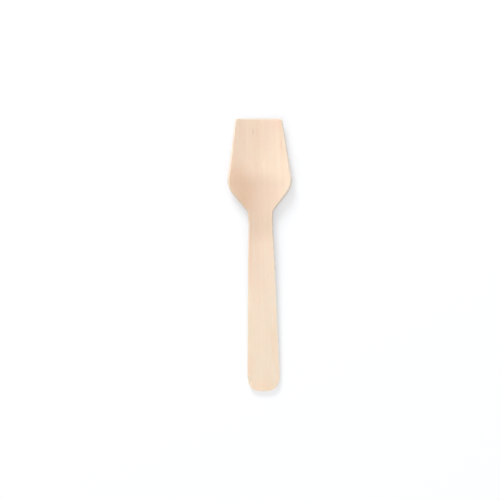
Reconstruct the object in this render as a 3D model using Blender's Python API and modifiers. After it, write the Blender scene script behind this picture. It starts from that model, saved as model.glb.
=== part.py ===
"""A small wooden dessert spoon, hot-pressed from one sheet of birch veneer.

The blank is die cut: a straight-cut tip, sides that widen to two shoulders, a
narrow neck, and a handle that widens again to a full round end. The press then
dishes the bowl, lifts the neck over a crest and folds a shallow channel into
it, which runs out along the handle. The sheet keeps one thickness all over.

The spoon lies as it rests: on the underside of its bowl and on the end of its
handle. +Y points to the tip, +X to the right, +Z up, and the origin is on the
table under the middle of the spoon. Units are metres.
"""

import math

import bpy
import numpy as np

# Sheet
SHEET_THICKNESS = 0.00135
EDGE_ROUNDING = 0.00018

# Outline seen from above, measured from the tip
LENGTH = 0.0959                   # of the sheet's middle: the leaning cut ends add 0.1 mm
TIP_WIDTH = 0.01605
TIP_CORNER_RADIUS = 0.00045
SHOULDER_WIDTH = 0.02276          # across the shoulders before they are rounded
SHOULDER_AT = 0.02374
SHOULDER_RADIUS = 0.0073
NECK_WIDTH = 0.0087
NECK_AT = 0.0325
NECK_RADIUS = 0.0015
WAIST_WIDTH = 0.0081              # the narrowest place, just behind the neck
WAIST_AT = 0.0375
WAIST_RADIUS = 0.040
FLARE_WIDTH = 0.0093              # where the handle starts to widen more slowly
FLARE_AT = 0.0500
FLARE_RADIUS = 0.300
END_WIDTH = 0.01128
END_LENGTH = 0.0059               # length of the round end
END_FULLNESS = 2.45               # 2 is an ellipse, more is squarer

# Side profile along the middle, as heights of the sheet above its lowest place
TIP_RISE = 0.0013
FLOOR_AT = 0.0100                 # the bowl's floor starts here
FLOOR_RADIUS = 0.090
FOOT_AT = 0.0245                  # the rear wall starts here
FOOT_RADIUS = 0.020
CREST_AT = 0.0365
CREST_HEIGHT = 0.0020
CREST_RADIUS = 0.040

# Trough across the sheet
TIP_TROUGH_RADIUS = 0.026
BOWL_TROUGH_RADIUS = 0.020
BOWL_TROUGH_AT = 0.0220
NECK_TROUGH_RADIUS = 0.014
NECK_TROUGH_AT = 0.0360
FLAT_FROM = 0.0640                # the handle is flat from here to its end

# Fineness of the mesh
COLUMNS = 13                      # odd, so that the sheet lies on flat facets and doesn't rock
ROW_STEP = 0.0018
OUTLINE_ARC_STEPS = 8
PROFILE_ARC_STEPS = 48
END_ROWS = 6
END_SIDE_ANGLE = math.radians(55)  # how far round the end the long sides reach
TIP_CORNER_ROWS = 5
ARC_ROOM = 0.48                   # share of the shorter neighbouring line that an arc may take
BEVEL_SEGMENTS = 2
BEVEL_FROM = math.radians(50)     # only the cut edges turn more sharply than this
SHARP_FROM = math.radians(40)
SAME_ROW_DIGITS = 5               # rows of the grid differ in Y by more than this many decimals

# Colour of the wood
WOOD_COLOUR = (0.88, 0.71, 0.57, 1.0)
WOOD_ROUGHNESS = 0.55


def clear_scene():
    """Remove the objects that the scene starts with."""
    for thing in list(bpy.data.objects):
        bpy.data.objects.remove(thing, do_unlink=True)


def arc_round(corner, before, after, radius, steps):
    """Points of the arc that rounds one corner between its two neighbours."""
    corner, before, after = (np.array(p, dtype=float) for p in (corner, before, after))
    to_before = before - corner
    to_after = after - corner
    room = ARC_ROOM * min(np.linalg.norm(to_before), np.linalg.norm(to_after))
    to_before /= np.linalg.norm(to_before)
    to_after /= np.linalg.norm(to_after)
    half_angle = math.acos(np.clip(np.dot(to_before, to_after), -1.0, 1.0)) / 2
    trim = min(radius / math.tan(half_angle), room)
    radius = trim * math.tan(half_angle)
    inwards = to_before + to_after
    inwards /= np.linalg.norm(inwards)
    centre = corner + inwards * radius / math.sin(half_angle)
    reach = math.pi / 2 - half_angle
    sideways = to_after - to_before
    sideways /= np.linalg.norm(sideways)
    angles = np.linspace(-reach, reach, steps + 1)
    return [centre - inwards * radius * math.cos(a) + sideways * radius * math.sin(a) for a in angles]


def rounded_path(corners, steps):
    """A line through (along, across, radius) corners, with an arc at each inner one."""
    path = [np.array(corners[0][:2])]
    for before, corner, after in zip(corners, corners[1:], corners[2:]):
        path += arc_round(corner[:2], before[:2], after[:2], corner[2], steps)
    path.append(np.array(corners[-1][:2]))
    return np.array(path)


def side_of_blank():
    """One side of the flat blank as (distance from the tip, half width), up to the round end."""
    return rounded_path([
        (0.0, TIP_WIDTH / 2, 0.0),
        (SHOULDER_AT, SHOULDER_WIDTH / 2, SHOULDER_RADIUS),
        (NECK_AT, NECK_WIDTH / 2, NECK_RADIUS),
        (WAIST_AT, WAIST_WIDTH / 2, WAIST_RADIUS),
        (FLARE_AT, FLARE_WIDTH / 2, FLARE_RADIUS),
        (LENGTH - END_LENGTH, END_WIDTH / 2, 0.0),
    ], OUTLINE_ARC_STEPS)


def side_profile():
    """The sheet's middle line seen from the side, as (distance from the tip, height)."""
    return rounded_path([
        (0.0, TIP_RISE, 0.0),
        (FLOOR_AT, 0.0, FLOOR_RADIUS),
        (FOOT_AT, 0.0, FOOT_RADIUS),
        (CREST_AT, CREST_HEIGHT, CREST_RADIUS),
        (LENGTH, 0.0, 0.0),
    ], PROFILE_ARC_STEPS)


def smooth_step(value, start, end):
    """0 before start, 1 after end, and an even S between them."""
    share = np.clip((value - start) / (end - start), 0.0, 1.0)
    return share * share * (3.0 - 2.0 * share)


def trough_curvature(along):
    """How sharply the sheet curves across itself, as one over the radius."""
    tip = 1.0 / TIP_TROUGH_RADIUS
    bowl = 1.0 / BOWL_TROUGH_RADIUS
    neck = 1.0 / NECK_TROUGH_RADIUS
    to_bowl = smooth_step(along, 0.0, BOWL_TROUGH_AT)
    to_neck = smooth_step(along, BOWL_TROUGH_AT, NECK_TROUGH_AT)
    to_flat = smooth_step(along, NECK_TROUGH_AT, FLAT_FROM)
    return (tip + (bowl - tip) * to_bowl + (neck - bowl) * to_neck) * (1.0 - to_flat)


def tip_corner_half_width(along, side_half_width):
    """The half width near the tip, where a small arc rounds the corner."""
    inside = max(TIP_CORNER_RADIUS - along, 0.0)
    cut = TIP_CORNER_RADIUS - math.sqrt(TIP_CORNER_RADIUS ** 2 - inside ** 2)
    return side_half_width - cut


def row_places(side):
    """Distances from the tip at which a row of the mesh crosses the spoon."""
    corner = [TIP_CORNER_RADIUS * (1.0 - math.cos(a)) for a in np.linspace(0.0, math.pi / 2, TIP_CORNER_ROWS)]
    wanted = sorted(corner + [along for along, _ in side if along > TIP_CORNER_RADIUS])
    places = [wanted[0]]
    for along in wanted[1:]:
        gap = along - places[-1]
        parts = max(1, math.ceil(gap / ROW_STEP))
        places += [places[-1] + gap * step / parts for step in range(1, parts + 1)]
    return places


def straight_rows(side):
    """Rows of (along, across) points from the tip to the start of the round end."""
    rows = []
    for along in row_places(side):
        half = tip_corner_half_width(along, np.interp(along, side[:, 0], side[:, 1]))
        rows.append([(along, half * u) for u in np.linspace(-1.0, 1.0, COLUMNS + 1)])
    return rows


def end_point(angle):
    """A point on the round end, from its side at 0 to the very end at a right angle."""
    power = 2.0 / END_FULLNESS
    along = LENGTH - END_LENGTH + END_LENGTH * math.sin(angle) ** power
    across = END_WIDTH / 2 * max(math.cos(angle), 0.0) ** power
    return along, across


def end_rows():
    """Rows that bend, one after the other, from straight across to the round end itself."""
    last_along, last_across = end_point(END_SIDE_ANGLE)
    rows = []
    for step in range(1, END_ROWS + 1):
        share = step / END_ROWS
        side_along, side_across = end_point(END_SIDE_ANGLE * share)
        row = []
        for u in np.linspace(-1.0, 1.0, COLUMNS + 1):
            angle = math.pi / 2 - (math.pi / 2 - END_SIDE_ANGLE) * abs(u)
            curve_along, curve_across = end_point(angle)
            curve_u = math.copysign(curve_across / last_across, u)
            along = side_along + (curve_along - last_along) * share
            row.append((along, side_across * (u + (curve_u - u) * share)))
        rows.append(row)
    return rows


def press(along, across, profile):
    """Height that the press gives to a place on the blank."""
    middle = np.interp(along, profile[:, 0], profile[:, 1])
    return middle + trough_curvature(along) * across ** 2 / 2.0


def pressed_sheet(name):
    """The pressed sheet as an open surface, halfway through its thickness."""
    profile = side_profile()
    rows = straight_rows(side_of_blank()) + end_rows()
    bpy.ops.mesh.primitive_grid_add(x_subdivisions=COLUMNS, y_subdivisions=len(rows) - 1, size=2.0)
    sheet = bpy.context.object
    sheet.name = name
    sheet.data.name = name
    corners = sheet.data.vertices
    order = sorted(range(len(corners)), key=lambda i: (-round(corners[i].co.y, SAME_ROW_DIGITS), corners[i].co.x))
    for place, (along, across) in zip(order, (point for row in rows for point in row)):
        height = press(along, across, profile) + SHEET_THICKNESS / 2
        corners[place].co = (across, LENGTH / 2 - along, height)
    return sheet


def add_thickness(sheet):
    """Give the sheet its even thickness and slightly rounded cut edges."""
    solid = sheet.modifiers.new("Thickness", "SOLIDIFY")
    solid.thickness = SHEET_THICKNESS
    solid.offset = 0.0
    solid.use_even_offset = True
    bevel = sheet.modifiers.new("Rounded edges", "BEVEL")
    bevel.width = EDGE_ROUNDING
    bevel.segments = BEVEL_SEGMENTS
    bevel.limit_method = "ANGLE"
    bevel.angle_limit = BEVEL_FROM
    bevel.use_clamp_overlap = True


def wood():
    """Pale birch veneer, smooth from the hot press."""
    material = bpy.data.materials.new("birch_veneer")
    material.use_nodes = True
    shader = material.node_tree.nodes["Principled BSDF"]
    shader.inputs["Base Color"].default_value = WOOD_COLOUR
    shader.inputs["Roughness"].default_value = WOOD_ROUGHNESS
    shader.inputs["Metallic"].default_value = 0.0
    return material


def build_spoon():
    """The whole spoon, which is one piece of wood."""
    spoon = pressed_sheet("spoon")
    add_thickness(spoon)
    spoon.data.materials.append(wood())
    spoon.data.shade_smooth()
    spoon.data.set_sharp_from_angle(angle=SHARP_FROM)
    collection = bpy.data.collections.new("wooden_dessert_spoon")
    bpy.context.scene.collection.children.link(collection)
    for old in list(spoon.users_collection):
        old.objects.unlink(spoon)
    collection.objects.link(spoon)


clear_scene()
build_spoon()
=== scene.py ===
# %% [markdown]
# # A pressed wooden dessert spoon
#
# This notebook dresses one small spoon of birch veneer, the kind that comes with a
# cup of ice cream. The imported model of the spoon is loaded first, as a fixed frame.
# It already has the right size and form, but its facets are too coarse for a close
# look. So a finer sheet is made in its place, and gets the wood that the real one has.

# %% Load the frame
import math

import bmesh
import bpy
import numpy as np
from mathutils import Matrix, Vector, noise
from mathutils.bvhtree import BVHTree


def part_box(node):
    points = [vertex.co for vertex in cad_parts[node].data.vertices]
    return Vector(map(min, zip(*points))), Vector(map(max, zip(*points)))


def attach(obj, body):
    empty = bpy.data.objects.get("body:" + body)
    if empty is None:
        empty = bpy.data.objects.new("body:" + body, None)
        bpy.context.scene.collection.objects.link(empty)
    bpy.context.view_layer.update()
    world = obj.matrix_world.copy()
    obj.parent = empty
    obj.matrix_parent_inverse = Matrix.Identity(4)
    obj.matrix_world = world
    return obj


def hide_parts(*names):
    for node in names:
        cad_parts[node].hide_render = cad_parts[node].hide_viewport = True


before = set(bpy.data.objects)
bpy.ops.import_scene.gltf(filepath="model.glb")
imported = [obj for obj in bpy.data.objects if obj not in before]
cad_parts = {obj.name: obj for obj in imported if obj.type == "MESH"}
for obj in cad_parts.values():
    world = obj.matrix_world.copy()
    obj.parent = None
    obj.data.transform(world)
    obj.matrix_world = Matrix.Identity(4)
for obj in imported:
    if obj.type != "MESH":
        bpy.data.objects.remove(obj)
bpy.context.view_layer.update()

cad_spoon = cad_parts["spoon"]
bpy.ops.object.select_all(action="DESELECT")
low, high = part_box("spoon")
print("frame box in mm:", [round(1000 * side, 2) for side in high - low])

# %% [markdown]
# ## The sizes of the blank
#
# A die cuts the blank from a flat sheet, so its outline is a few straight lines with
# rounded corners. The press then gives the sheet its side profile, which is also a
# few lines with rounded corners, and a trough across it. All distances run from the
# tip, in metres, and the middle of the spoon's length is at Y = 0. Three small things
# in the outline are this spoon's own, and not the frame's: its tip is cut a little
# askew, the right corner there is rounder, and the handle's round end is fuller.

# %% Sizes of the sheet, its outline and its press
SHEET = 0.00135
LENGTH = 0.0959
OUTLINE = [  # distance from the tip, half width, corner radius
    (0.0, 0.008025, 0.0),
    (0.02374, 0.01138, 0.0073),
    (0.0325, 0.00435, 0.0015),
    (0.0375, 0.00405, 0.040),
    (0.0500, 0.00465, 0.300),
    (0.0900, 0.00564, 0.0),
]
PROFILE = [  # distance from the tip, height, corner radius
    (0.0, 0.0013, 0.0),
    (0.0100, 0.0, 0.090),
    (0.0245, 0.0, 0.020),
    (0.0365, 0.0020, 0.040),
    (LENGTH, 0.0, 0.0),
]
TROUGH = [  # distance from the tip, one over the radius of the trough
    (0.0, 1 / 0.026),
    (0.0220, 1 / 0.020),
    (0.0360, 1 / 0.014),
    (0.0640, 0.0),
]
LEFT_TIP_CORNER = 0.00045
RIGHT_TIP_CORNER = 0.00090
TIP_SKEW = math.tan(math.radians(0.9))
TIP_SKEW_FADE = 0.006
END_LENGTH = LENGTH - OUTLINE[-1][0]
END_FULLNESS = 2.80  # 2 is an ellipse, more is squarer
END_SIDE_ANGLE = math.radians(55)

# %% [markdown]
# ## Rounded lines
#
# By hand, a corner is rounded with Bevel on a vertex. Here the same arc is worked
# out: it touches both lines at equal distances from the corner.

# %% A line with rounded corners
ARC_STEPS = 40


def arc(before, corner, after, radius):
    """Points of the arc that rounds a corner between two neighbours."""
    to_before = (before - corner) / np.linalg.norm(before - corner)
    to_after = (after - corner) / np.linalg.norm(after - corner)
    half_angle = math.acos(np.dot(to_before, to_after)) / 2
    inwards = (to_before + to_after) / np.linalg.norm(to_before + to_after)
    sideways = (to_after - to_before) / np.linalg.norm(to_after - to_before)
    centre = corner + inwards * radius / math.sin(half_angle)
    reach = math.pi / 2 - half_angle
    turns = np.linspace(-reach, reach, ARC_STEPS + 1)
    return [centre - radius * (inwards * math.cos(t) - sideways * math.sin(t)) for t in turns]


def rounded(corners):
    """The whole line, as distances from the tip and values there."""
    points = [np.array(c[:2]) for c in corners]
    line = [points[0]]
    for i in range(1, len(corners) - 1):
        line += arc(points[i - 1], points[i], points[i + 1], corners[i][2])
    line.append(points[-1])
    return np.array(line).T


outline = rounded(OUTLINE)
profile = rounded(PROFILE)
print("widest half in mm:", round(1000 * outline[1].max(), 2))

# %% [markdown]
# ## The press
#
# The heated die lifts the sheet by its side profile, and bends it across into a
# trough that is deepest in the neck and runs out along the handle.

# %% Heights that the press gives
def smooth_step(value, start, end):
    """0 before start, 1 after end, and an even S between them."""
    share = np.clip((value - start) / (end - start), 0.0, 1.0)
    return share * share * (3.0 - 2.0 * share)


def trough(along):
    """One over the radius across the sheet."""
    curvature = np.full_like(along, TROUGH[0][1])
    for (start, before), (end, after) in zip(TROUGH[:3], TROUGH[1:3]):
        curvature += (after - before) * smooth_step(along, start, end)
    return curvature * (1.0 - smooth_step(along, TROUGH[2][0], TROUGH[3][0]))


def press(across, along):
    """Height of the sheet's middle over its lowest place."""
    return np.interp(along, *profile) + trough(along) * across ** 2 / 2.0


# %% [markdown]
# ## The blank
#
# A grid primitive is the flat blank, with rows across the spoon and columns along
# it. By hand, each row would be moved and scaled to the outline. A loop does the
# same here. Towards the round end the rows bend, one after the other, until the
# last one is the end itself, so no row shrinks to a point.

# %% Rows of the blank
COLUMNS = 80
ROW_STEP = 0.00028
END_ROWS = 22
CORNER_ROWS = 7


def end_point(angle):
    """A point on the round end: 0 is at its side and a right angle at the very end."""
    power = 2.0 / END_FULLNESS
    along = LENGTH - END_LENGTH + END_LENGTH * np.sin(angle) ** power
    across = OUTLINE[-1][1] * np.clip(np.cos(angle), 0.0, 1.0) ** power
    return across, along


def half_widths(places, corner):
    """Half widths of the blank, with one corner of the tip rounded."""
    inside = np.clip(corner - places, 0.0, None)
    return np.interp(places, *outline) - corner + np.sqrt(corner ** 2 - inside ** 2)


def straight_rows(u):
    """Rows from the tip to the start of the round end, with the tip cut a little askew."""
    corner = RIGHT_TIP_CORNER * (1.0 - np.cos(np.linspace(0.0, math.pi / 2, CORNER_ROWS)))
    stretch = OUTLINE[-1][0] - RIGHT_TIP_CORNER
    rest = np.linspace(RIGHT_TIP_CORNER, OUTLINE[-1][0], round(stretch / ROW_STEP) + 1)
    places = np.concatenate([corner, rest[1:]])
    left = np.outer(half_widths(places, LEFT_TIP_CORNER), np.minimum(u, 0.0))
    right = np.outer(half_widths(places, RIGHT_TIP_CORNER), np.maximum(u, 0.0))
    askew = TIP_SKEW * np.clip(1.0 - places / TIP_SKEW_FADE, 0.0, 1.0)[:, None]
    return left + right, places[:, None] + askew * (left + right + OUTLINE[0][1])


def bent_rows(u):
    """Rows that turn, step by step, into the round end."""
    last_across, last_along = end_point(END_SIDE_ANGLE)
    angle = math.pi / 2 - (math.pi / 2 - END_SIDE_ANGLE) * np.abs(u)
    curve_across, curve_along = end_point(angle)
    curve_u = np.sign(u) * curve_across / last_across
    share = np.linspace(0.0, 1.0, END_ROWS + 1)[1:, None]
    side_across, side_along = end_point(END_SIDE_ANGLE * share)
    across = side_across * (u + (curve_u - u) * share)
    return across, side_along + (curve_along - last_along) * share


u = np.linspace(-1.0, 1.0, COLUMNS + 1)
across, along = (np.vstack(pair) for pair in zip(straight_rows(u), bent_rows(u)))
rows = len(across)
print("rows:", rows, "columns:", COLUMNS)

# %% [markdown]
# ## Slight unevenness
#
# Real veneer is never quite flat: soft early wood sinks a little more under the press
# than hard late wood, in long shallow waves, and the die leaves the cut a little
# ragged. Both are real relief in the mesh, a few hundredths of a millimetre deep.

# %% Waves in the sheet and raggedness along the cut
WAVE_HEIGHT = 0.000020
WAVE_WIDTH = 0.0016
WAVE_LENGTH = 0.022
WAVE_LAYER = 3.1
RAGGED_DEPTH = 0.000035
RAGGED_LENGTH = 0.0011
RAGGED_RIM = 6.0
RAGGED_LAYER = 9.4
SIDES_APART = 7.7


def veneer_noise(x, y, layer):
    """Smooth noise from about -1 to 1, with another pattern in each layer."""
    return noise.noise(Vector((float(x), float(y), layer)))


def waves(across, along):
    """Height of the shallow waves that follow the grain."""
    pairs = zip(across.ravel() / WAVE_WIDTH, along.ravel() / WAVE_LENGTH)
    lifts = [veneer_noise(x, y, WAVE_LAYER) for x, y in pairs]
    return WAVE_HEIGHT * np.array(lifts).reshape(across.shape)


def ragged(across, along, u):
    """Small sideways moves that fade from the cut edge inwards."""
    near_rim = np.abs(u) ** RAGGED_RIM
    pairs = zip(np.sign(across).ravel(), along.ravel() / RAGGED_LENGTH)
    shifts = [veneer_noise(SIDES_APART * side, y, RAGGED_LAYER) for side, y in pairs]
    return RAGGED_DEPTH * np.array(shifts).reshape(across.shape) * near_rim


# %% Make the pressed sheet
bpy.ops.mesh.primitive_grid_add(x_subdivisions=COLUMNS, y_subdivisions=rows - 1, size=2.0)
sheet = bpy.context.object
sheet.name = "spoon_veneer"
sheet.data.name = "spoon_veneer"

wide = across + ragged(across, along, u)
heights = press(across, along) + waves(across, along) + SHEET / 2
places = np.stack([wide, LENGTH / 2 - along, heights], axis=-1)[::-1].reshape(-1, 3)
sheet.data.vertices.foreach_set("co", places.ravel())
sheet.data.update()
print("sheet has", len(sheet.data.polygons), "faces")

# %% [markdown]
# ## Thickness and rounded edges
#
# Solidify grows the sheet evenly to both sides, and Bevel takes the sharpness off
# the cut, as tumbling in a drum does on the real ones.

# %% Solidify and bevel
EDGE_ROUNDING = 0.00042
EDGE_SEGMENTS = 4
EDGE_FROM = math.radians(50)  # only the cut edges turn more sharply than this

solid = sheet.modifiers.new("Thickness", "SOLIDIFY")
solid.thickness = SHEET
solid.offset = 0.0
solid.use_even_offset = True
bpy.ops.object.modifier_apply(modifier=solid.name)

bevel = sheet.modifiers.new("Rounded edges", "BEVEL")
bevel.width = EDGE_ROUNDING
bevel.segments = EDGE_SEGMENTS
bevel.limit_method = "ANGLE"
bevel.angle_limit = EDGE_FROM
bpy.ops.object.modifier_apply(modifier=bevel.name)
sheet.data.shade_smooth()
print("solid has", len(sheet.data.polygons), "faces")

# %% [markdown]
# ## A chip at the handle's end
#
# A flake has come off the upper edge at the left of the round end. Sculpting would do
# it by hand. Here the vertices inside an oval on the rim are held down to a hollow,
# measured by their depth in the sheet, so the underside stays whole. Noise that is
# stretched along the fibres makes the oval's border ragged, as a break in wood is.

# %% Hollow out the chip
CHIP_ACROSS = -0.0054
CHIP_ALONG = 0.0929
CHIP_HALF_WIDTH = 0.0011
CHIP_HALF_LENGTH = 0.0024
CHIP_DEPTH = 0.00045
CHIP_RAGGED = 0.55
CHIP_FIBRE_WIDTH = 0.00045
CHIP_FIBRE_LENGTH = 0.0026
CHIP_LAYER = 5.2
OUTSIDE_CHIP = -1.0
MOVED_FROM = 0.00002
SLOPE_STEP = 1e-5


def vertex_places(mesh):
    """The places of all vertices, as one row of x, y, z after x, y, z."""
    coords = np.empty(len(mesh.vertices) * 3)
    mesh.vertices.foreach_get("co", coords)
    return coords


def flat_coordinates(mesh):
    """Each vertex's place in the flat blank (across, from the tip, depth), and its steepness."""
    x, y, z = vertex_places(mesh).reshape(-1, 3).T
    from_tip = LENGTH / 2 - y
    slope_across = trough(from_tip) * x
    slope_along = (press(x, from_tip + SLOPE_STEP) - press(x, from_tip - SLOPE_STEP)) / (2 * SLOPE_STEP)
    steepness = np.sqrt(1.0 + slope_across ** 2 + slope_along ** 2)
    depth = (z - SHEET / 2 - press(x, from_tip)) / steepness
    return np.stack([x + depth * slope_across, from_tip - depth * slope_along, depth]), steepness


def chip_share(across, along):
    """1 in the middle of the chip, 0 at its border, and less outside it."""
    right = (across - CHIP_ACROSS) / CHIP_HALF_WIDTH
    down = (along - CHIP_ALONG) / CHIP_HALF_LENGTH
    pairs = zip(across / CHIP_FIBRE_WIDTH, along / CHIP_FIBRE_LENGTH)
    fibres = np.array([veneer_noise(x, y, CHIP_LAYER) for x, y in pairs])
    return np.clip(1.0 - right ** 2 - down ** 2 + CHIP_RAGGED * fibres, OUTSIDE_CHIP, 1.0)


flat, steepness = flat_coordinates(sheet.data)
chipped = np.where(flat[2] > 0.0, chip_share(flat[0], flat[1]), OUTSIDE_CHIP)
hollow = SHEET / 2 - CHIP_DEPTH * np.sqrt(np.clip(chipped, 0.0, None))
drop = np.clip(flat[2] - hollow, 0.0, None) * steepness
coords = vertex_places(sheet.data)
coords[2::3] -= drop
sheet.data.vertices.foreach_set("co", coords)
sheet.data.update()
moved = int((drop > MOVED_FROM).sum())
print("the chip moved", moved, "vertices, by up to", round(1000 * drop.max(), 2), "mm")

# %% [markdown]
# ## A check against the frame
#
# The frame's spoon is the measure of the size, so the furthest distance from it is
# printed. It stays under the depth of the chip.

# %% Check the fine sheet against the frame
cad_mesh = bmesh.new()
cad_mesh.from_mesh(cad_spoon.data)
cad_tree = BVHTree.FromBMesh(cad_mesh)
gaps = [cad_tree.find_nearest(v.co)[3] for v in sheet.data.vertices]
cad_mesh.free()
print("furthest from the frame in mm:", round(1000 * max(gaps), 3))

# %% [markdown]
# ## Coordinates that follow the sheet
#
# The grain was straight before the press bent the sheet. So each vertex keeps where
# it was in the flat blank, in millimetres: across it, along it, and how deep in its
# thickness. The wood reads that attribute, and its streaks then follow every bend. A
# second one says how far inside or outside the chip a vertex lies, so that the chip's
# border stays smooth.

# %% Store the flat coordinates
flat = flat_coordinates(sheet.data)[0]
blank = sheet.data.attributes.new("blank", "FLOAT_VECTOR", "POINT")
blank.data.foreach_set("vector", (1000.0 * flat.T).ravel())
chip = sheet.data.attributes.new("chip", "FLOAT", "POINT")
chip.data.foreach_set("value", chipped)
print("depth in mm:", round(1000 * flat[2].min(), 3), "to", round(1000 * flat[2].max(), 3))

# %% [markdown]
# ## The wood
#
# Birch veneer is pale and even. Close up it has fine fibres, short dark dashes where
# the knife opened a vessel, faint wide figure, and now and then a brown fleck. The
# cut edge is paler and rougher: paler partly as fresh wood and partly as painted
# light on the edge. Each of these is one small group of nodes. The sheet is thin, so
# some light also scatters inside it and comes out beside where it went in: the
# shader's subsurface part does that, and it softens the shading at the edges.

# %% Helpers for node trees
def new_material(name):
    """A material that has only its shader and output yet, and its node tree."""
    material = bpy.data.materials.new(name)
    material.use_nodes = True
    return material, material.node_tree


def add(tree, kind, inputs=None, **settings):
    """A node with its settings, and its inputs set or linked."""
    node = tree.nodes.new("ShaderNode" + kind)
    for key, value in settings.items():
        setattr(node, key, value)
    for key, value in (inputs or {}).items():
        if isinstance(value, bpy.types.NodeSocket):
            tree.links.new(value, node.inputs[key])
        else:
            node.inputs[key].default_value = value
    return node


def maths(tree, operation, *values, clamp=False):
    """A Math node's result."""
    node = add(tree, "Math", dict(enumerate(values)), operation=operation, use_clamp=clamp)
    return node.outputs[0]


def grain_noise(tree, vector, scale, detail=3.0, roughness=0.55, offset=(0.0, 0.0, 0.0)):
    """Noise stretched by a scale for each direction, in waves a millimetre."""
    place = add(tree, "Mapping", {"Vector": vector, "Scale": scale, "Location": offset})
    inputs = {"Vector": place.outputs[0], "Scale": 1.0, "Detail": detail, "Roughness": roughness}
    return add(tree, "TexNoise", inputs).outputs["Fac"]


def band(tree, value, low, high):
    """0 under low and 1 over high, smooth between them."""
    inputs = {"Value": value, "From Min": low, "From Max": high}
    return add(tree, "MapRange", inputs, interpolation_type="SMOOTHSTEP").outputs[0]


def tint(tree, colour, amount, factor):
    """The colour multiplied by another one where factor is 1."""
    inputs = {0: factor, 6: colour, 7: (*amount, 1.0)}  # a colour mix has its sockets there
    node = add(tree, "Mix", inputs, data_type="RGBA", blend_type="MULTIPLY")
    return node.outputs[2]


def seen(tree):
    """1 for what the camera sees, also in a mirror or through glass, and 0 for lighting."""
    ray = add(tree, "LightPath")
    direct = maths(tree, "ADD", ray.outputs["Is Camera Ray"], ray.outputs["Is Glossy Ray"], clamp=True)
    return maths(tree, "ADD", direct, ray.outputs["Is Transmission Ray"], clamp=True)


# %% Birch veneer
BIRCH = (0.912, 0.770, 0.625)
FIBRE = (0.975, 0.962, 0.945)
STREAK = (0.985, 0.972, 0.958)
PALE_STREAK = (1.008, 1.012, 1.018)
FIGURE = (0.990, 0.975, 0.962)
VESSEL = (0.92, 0.86, 0.80)
VESSEL_STRENGTH = 0.6
GRAIN_WANDER = 4.0

birch, tree = new_material("birch_veneer")
shader = tree.nodes["Principled BSDF"]
flat_place = add(tree, "Attribute", attribute_name="blank", attribute_type="GEOMETRY").outputs["Vector"]
axes = add(tree, "SeparateXYZ", {"Vector": flat_place})
side, down, deep = axes.outputs

wander = grain_noise(tree, flat_place, (0.10, 0.016, 0.10), detail=1.0)
wandered = maths(tree, "MULTIPLY_ADD", wander, GRAIN_WANDER, side)
grain = add(tree, "CombineXYZ", {"X": wandered, "Y": down, "Z": deep}).outputs[0]

fibres = grain_noise(tree, grain, (8.0, 0.16, 8.0), detail=4.0, roughness=0.65)
streaks = grain_noise(tree, grain, (0.8, 0.022, 0.8), detail=4.0, offset=(4.0, 1.0, 2.0))
figure = grain_noise(tree, grain, (0.17, 0.016, 0.17), detail=2.0, offset=(1.5, 7.0, 0.0))
vessels = grain_noise(tree, grain, (7.0, 0.42, 7.0), detail=1.0, offset=(9.0, 3.0, 5.0))

fibre_dark = band(tree, fibres, 0.62, 0.30)
streak_dark = band(tree, streaks, 0.58, 0.30)
streak_pale = band(tree, streaks, 0.54, 0.70)
figure_dark = band(tree, figure, 0.62, 0.38)
vessel_mark = band(tree, vessels, 0.665, 0.72)
cut_edge = band(tree, maths(tree, "ABSOLUTE", deep), 0.668, 0.58)

colour = tint(tree, (*BIRCH, 1.0), FIBRE, fibre_dark)
colour = tint(tree, colour, STREAK, streak_dark)
colour = tint(tree, colour, PALE_STREAK, streak_pale)
colour = tint(tree, colour, FIGURE, figure_dark)
colour = tint(tree, colour, VESSEL, maths(tree, "MULTIPLY", vessel_mark, VESSEL_STRENGTH))

# %% [markdown]
# The hot die tones the wood where it bends the sheet most: the bowl is a little
# pinker than the handle. The rear wall, the neck and the left wall of the bowl are
# darker and warmer: partly toasted, and partly painted shade where they turn from
# the light. A thin reddish line along the left of the neck is painted shade of the
# channel's wall. Each tone is a wide soft oval, placed by millimetres across the
# spoon and from its tip.

# %% Tones that the hot press leaves, and painted shade
PRESS_TONES_AND_SHADE = [  # across, from the tip, half width, half length, colour
    (0.0, 12.0, 16.0, 26.0, (0.990, 0.943, 0.937)),
    (4.0, 15.5, 8.0, 7.0, (1.005, 1.020, 1.015)),
    (6.3, 2.5, 2.6, 2.6, (1.010, 0.975, 0.970)),
    # painted shade on the bowl's rear and left walls, partly a toasted tint
    (-9.0, 26.5, 9.0, 14.0, (0.940, 0.865, 0.800)),
    # painted shade on the rear wall and the neck, partly a toasted tint
    (0.0, 31.0, 15.0, 14.0, (0.885, 0.850, 0.830)),
    # a little painted shade on the neck, partly a toasted tint
    (0.0, 46.0, 9.0, 20.0, (0.990, 0.965, 0.965)),
    # painted shade: a reddish line where the channel's left wall turns from the light
    (-4.0, 48.0, 1.1, 15.0, (1.000, 0.960, 0.935)),
    (-2.0, 61.0, 3.0, 8.0, (1.008, 0.985, 0.985)),
    (-4.8, 73.0, 2.2, 9.0, (0.985, 0.988, 0.955)),
    (-4.8, 87.0, 2.4, 6.0, (1.005, 0.970, 0.960)),
    (3.8, 79.0, 1.0, 9.0, (1.000, 0.965, 0.935)),
    (0.0, 96.0, 8.0, 5.5, (1.010, 0.970, 0.925)),
]


def oval(tree, across, along, half_width, half_length, rim):
    """1 inside an oval on the flat blank and 0 outside it, soft towards its rim."""
    off_side = maths(tree, "DIVIDE", maths(tree, "SUBTRACT", side, across), half_width)
    off_down = maths(tree, "DIVIDE", maths(tree, "SUBTRACT", down, along), half_length)
    squared = maths(tree, "MULTIPLY_ADD", off_side, off_side, maths(tree, "MULTIPLY", off_down, off_down))
    return band(tree, squared, 1.0, 1.0 - rim)


for *place, tone in PRESS_TONES_AND_SHADE:
    colour = tint(tree, colour, tone, oval(tree, *place, rim=1.0))
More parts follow.
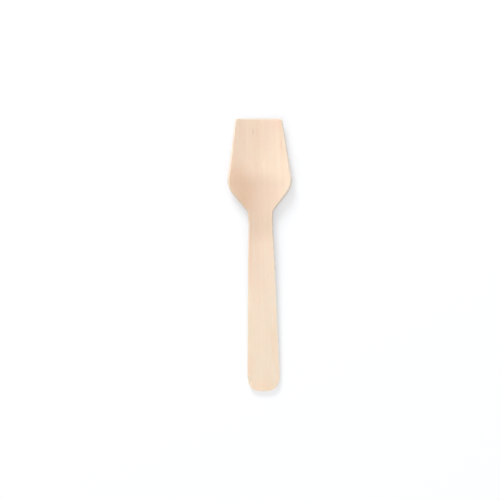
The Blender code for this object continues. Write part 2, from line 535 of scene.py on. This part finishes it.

# %% [markdown]
# Some marks are this spoon's own: a dark fleck near the tip, a few short pale streaks
# where a fibre lifted, and a reddish line by the right rim. They are small ovals, and
# only on the upper face. The long sides and the chip are paler, partly as fresh wood
# and partly as painted light on the cut. Where the cut crosses the fibres, at the tip
# and the round end, their open ends swallow some light, so that wood is darker again.
# A greyer tone on the wall of the chip is painted shade.

# %% Flecks, pale streaks, fresh wood with painted light at the cut, and painted shade in the chip
MARKS = [  # across, from the tip, half width, half length, colour
    (-7.1, 0.2, 0.35, 0.40, (0.80, 0.80, 0.80)),
    (-2.1, 4.7, 0.32, 1.50, (0.90, 0.88, 0.86)),
    (-1.3, 16.6, 0.25, 0.50, (0.94, 0.91, 0.88)),
    (1.4, 16.3, 0.70, 1.10, (1.02, 1.04, 1.04)),
    (8.0, 9.4, 0.25, 2.30, (0.96, 0.89, 0.83)),
    (8.7, 8.7, 0.40, 1.10, (1.03, 1.06, 1.09)),
    (-7.9, 7.1, 0.25, 0.80, (1.03, 1.05, 1.07)),
    (-2.0, 77.8, 0.25, 1.40, (1.02, 1.035, 1.05)),
    (0.7, 77.0, 0.25, 1.10, (1.02, 1.035, 1.05)),
    (3.5, 71.7, 0.25, 3.60, (1.02, 1.03, 1.05)),
    (1.8, 86.8, 0.30, 2.30, (1.02, 1.035, 1.05)),
]
# paler cut edge: partly fresh wood, partly painted light on the edge
FRESH_AND_LIT_EDGE = (1.03, 1.11, 1.18)
END_GRAIN = (0.95, 0.90, 0.85)
# painted shade on the wall of the chip
CHIP_WALL_SHADE = (0.93, 0.90, 0.87)
WALL_STARTS = (-0.04, 0.06)  # shares of the chip
WALL_ENDS = (0.55, 0.90)
WALL_DEPTH = (0.20, 0.34)  # millimetres above the middle of the sheet
LESS_FRESH_IN_CHIP = 0.4
TIP_CUT = (0.9, 0.3)  # millimetres from the tip
END_CUT = (93.0, 95.4)

upper_face = band(tree, deep, 0.30, 0.55)
for *place, mark in MARKS:
    inside = maths(tree, "MULTIPLY", oval(tree, *place, rim=0.8), upper_face)
    colour = tint(tree, colour, mark, inside)
in_chip = add(tree, "Attribute", attribute_name="chip", attribute_type="GEOMETRY").outputs["Fac"]
# where the painted shade on the chip's wall goes
painted_chip_shade = maths(tree, "SUBTRACT", band(tree, in_chip, *WALL_STARTS), band(tree, in_chip, *WALL_ENDS))
painted_chip_shade = maths(tree, "MULTIPLY", painted_chip_shade, band(tree, deep, *WALL_DEPTH))
inside = maths(tree, "MULTIPLY", band(tree, in_chip, 0.0, 0.6), LESS_FRESH_IN_CHIP)
# the cut edge made paler: partly fresh wood, partly painted light
colour = tint(tree, colour, FRESH_AND_LIT_EDGE, maths(tree, "SUBTRACT", cut_edge, inside))
crosswise = maths(tree, "ADD", band(tree, down, *TIP_CUT), band(tree, down, *END_CUT))
colour = tint(tree, colour, END_GRAIN, maths(tree, "MULTIPLY", cut_edge, crosswise))
# painted shade on the chip's wall
colour = tint(tree, colour, CHIP_WALL_SHADE, painted_chip_shade)
tree.links.new(colour, shader.inputs["Base Color"])

# %% [markdown]
# The press leaves the wood faintly satin. The noise of the fibres also varies its
# roughness, and the cut is rougher. In the bump the vessels are fine hollows.

# %% Sheen and fine relief of the wood
SATIN = {"To Min": 0.44, "To Max": 0.62}
CUT_ROUGHER_BY = 0.15
VESSEL_HOLLOW = -0.8

rough = add(tree, "MapRange", {"Value": fibres, **SATIN}).outputs[0]
rough = maths(tree, "MULTIPLY_ADD", cut_edge, CUT_ROUGHER_BY, rough)
tree.links.new(rough, shader.inputs["Roughness"])
shader.inputs["IOR"].default_value = 1.45
shader.inputs["Subsurface Weight"].default_value = 0.4
shader.inputs["Subsurface Radius"].default_value = (0.9, 0.65, 0.5)
shader.inputs["Subsurface Scale"].default_value = 0.001

relief = maths(tree, "MULTIPLY_ADD", vessel_mark, VESSEL_HOLLOW, fibres)
bump = add(tree, "Bump", {"Height": relief, "Strength": 0.35, "Distance": 0.00003})
tree.links.new(bump.outputs[0], shader.inputs["Normal"])
sheet.data.materials.append(birch)
print("birch has", len(tree.nodes), "nodes")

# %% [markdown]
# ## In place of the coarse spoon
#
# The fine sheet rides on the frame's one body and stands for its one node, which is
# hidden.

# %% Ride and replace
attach(sheet, "root")
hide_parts("spoon")

# %% [markdown]
# ## Floor
#
# The spoon lies on a white table, which takes its shadow from the lamps. For the
# camera and for reflections, the table has a darker colour and a plain glow on top:
# the two add up to plain white where nothing shades it, and the glow keeps the
# shadow soft. The light that the table throws back on the spoon stays as it is.

# %% A white floor that keeps the shadow
FLOOR_WHITE = (0.77, 0.78, 0.80)
FLOOR_SEEN = (0.60, 0.61, 0.63)
FLOOR_GLOW = 0.395
FLOOR_SIZE = 6.0
FLOOR_HEIGHT = -0.00002

white, tree = new_material("white_table")
paper = tree.nodes["Principled BSDF"]
paper.inputs["Roughness"].default_value = 0.9
paper.inputs["Specular IOR Level"].default_value = 0.0
seen_floor = seen(tree)
less = [part / whole for part, whole in zip(FLOOR_SEEN, FLOOR_WHITE)]
tree.links.new(tint(tree, (*FLOOR_WHITE, 1.0), less, seen_floor), paper.inputs["Base Color"])
paper.inputs["Emission Color"].default_value = (1.0, 1.0, 1.0, 1.0)
tree.links.new(maths(tree, "MULTIPLY", seen_floor, FLOOR_GLOW), paper.inputs["Emission Strength"])

bpy.ops.mesh.primitive_plane_add(size=FLOOR_SIZE, location=(0.0, 0.0, FLOOR_HEIGHT))
floor = bpy.context.object
floor.name = "white_table"
floor.data.materials.append(white)

# %% [markdown]
# ## Light
#
# Most of the light comes from all around. A low lamp beyond the tip, a little to the
# left, draws the soft shadow on the right and below the handle's end. A broad, weak
# and higher one at the lower left leaves the left wall of the bowl a little darker
# than the right one, and brightens the cut edge on the left. Each share is the part
# of a white floor's light that the lamp gives, and they add up to about one.

# %% World and lamps
AROUND = 0.68


def lamp(name, share, towards, distance, size):
    """A round lamp that gives the floor this share of its light."""
    direction = Vector(towards).normalized()
    bpy.ops.object.light_add(type="AREA", location=direction * distance)
    light = bpy.context.object
    light.name = name
    light.rotation_euler = direction.to_track_quat("Z", "Y").to_euler()
    light.data.shape = "DISK"
    light.data.size = size
    light.data.energy = share * math.pi ** 2 * (distance ** 2 + size ** 2 / 4) / direction.z


lamp("key_lamp", 0.26, (-0.5, 1.6, 1.0), 1.20, 0.50)
lamp("fill_lamp", 0.09, (-0.7, -0.7, 0.9), 2.40, 2.40)

world = bpy.data.worlds.new("studio")
bpy.context.scene.world = world
world.use_nodes = True
tree = world.node_tree
around = tree.nodes["Background"]
around.inputs["Color"].default_value = (1.0, 1.0, 1.0, 1.0)
strength = maths(tree, "MULTIPLY_ADD", seen(tree), 1.0 - AROUND, AROUND)
tree.links.new(strength, around.inputs["Strength"])
bpy.context.scene.view_settings.view_transform = "Standard"

# %% [markdown]
# ## Camera
#
# The photograph looks straight down. The spoon is 96 mm long and fills 272 of 500
# pixels, with its tip turned a little to the left, and lies to the right of the middle.

# %% Camera straight above
PIXELS = 500
METRES_PER_PIXEL = 0.096 / 271.9
SPOON_MIDDLE = (261.2, 254.9)
TURN = math.radians(1.1)
CAMERA_HEIGHT = 0.60
SENSOR = 36.0

aside = (PIXELS / 2 - SPOON_MIDDLE[0]) * METRES_PER_PIXEL
upwards = (SPOON_MIDDLE[1] - PIXELS / 2) * METRES_PER_PIXEL
place = (
    aside * math.cos(-TURN) - upwards * math.sin(-TURN),
    aside * math.sin(-TURN) + upwards * math.cos(-TURN),
    CAMERA_HEIGHT,
)
bpy.ops.object.camera_add(location=place, rotation=(0.0, 0.0, -TURN))
camera = bpy.context.object
camera.data.sensor_width = SENSOR
camera.data.lens = SENSOR * CAMERA_HEIGHT / (PIXELS * METRES_PER_PIXEL)
camera.data.clip_start = 0.01
bpy.context.scene.camera = camera
print("lens in mm:", round(camera.data.lens, 1))
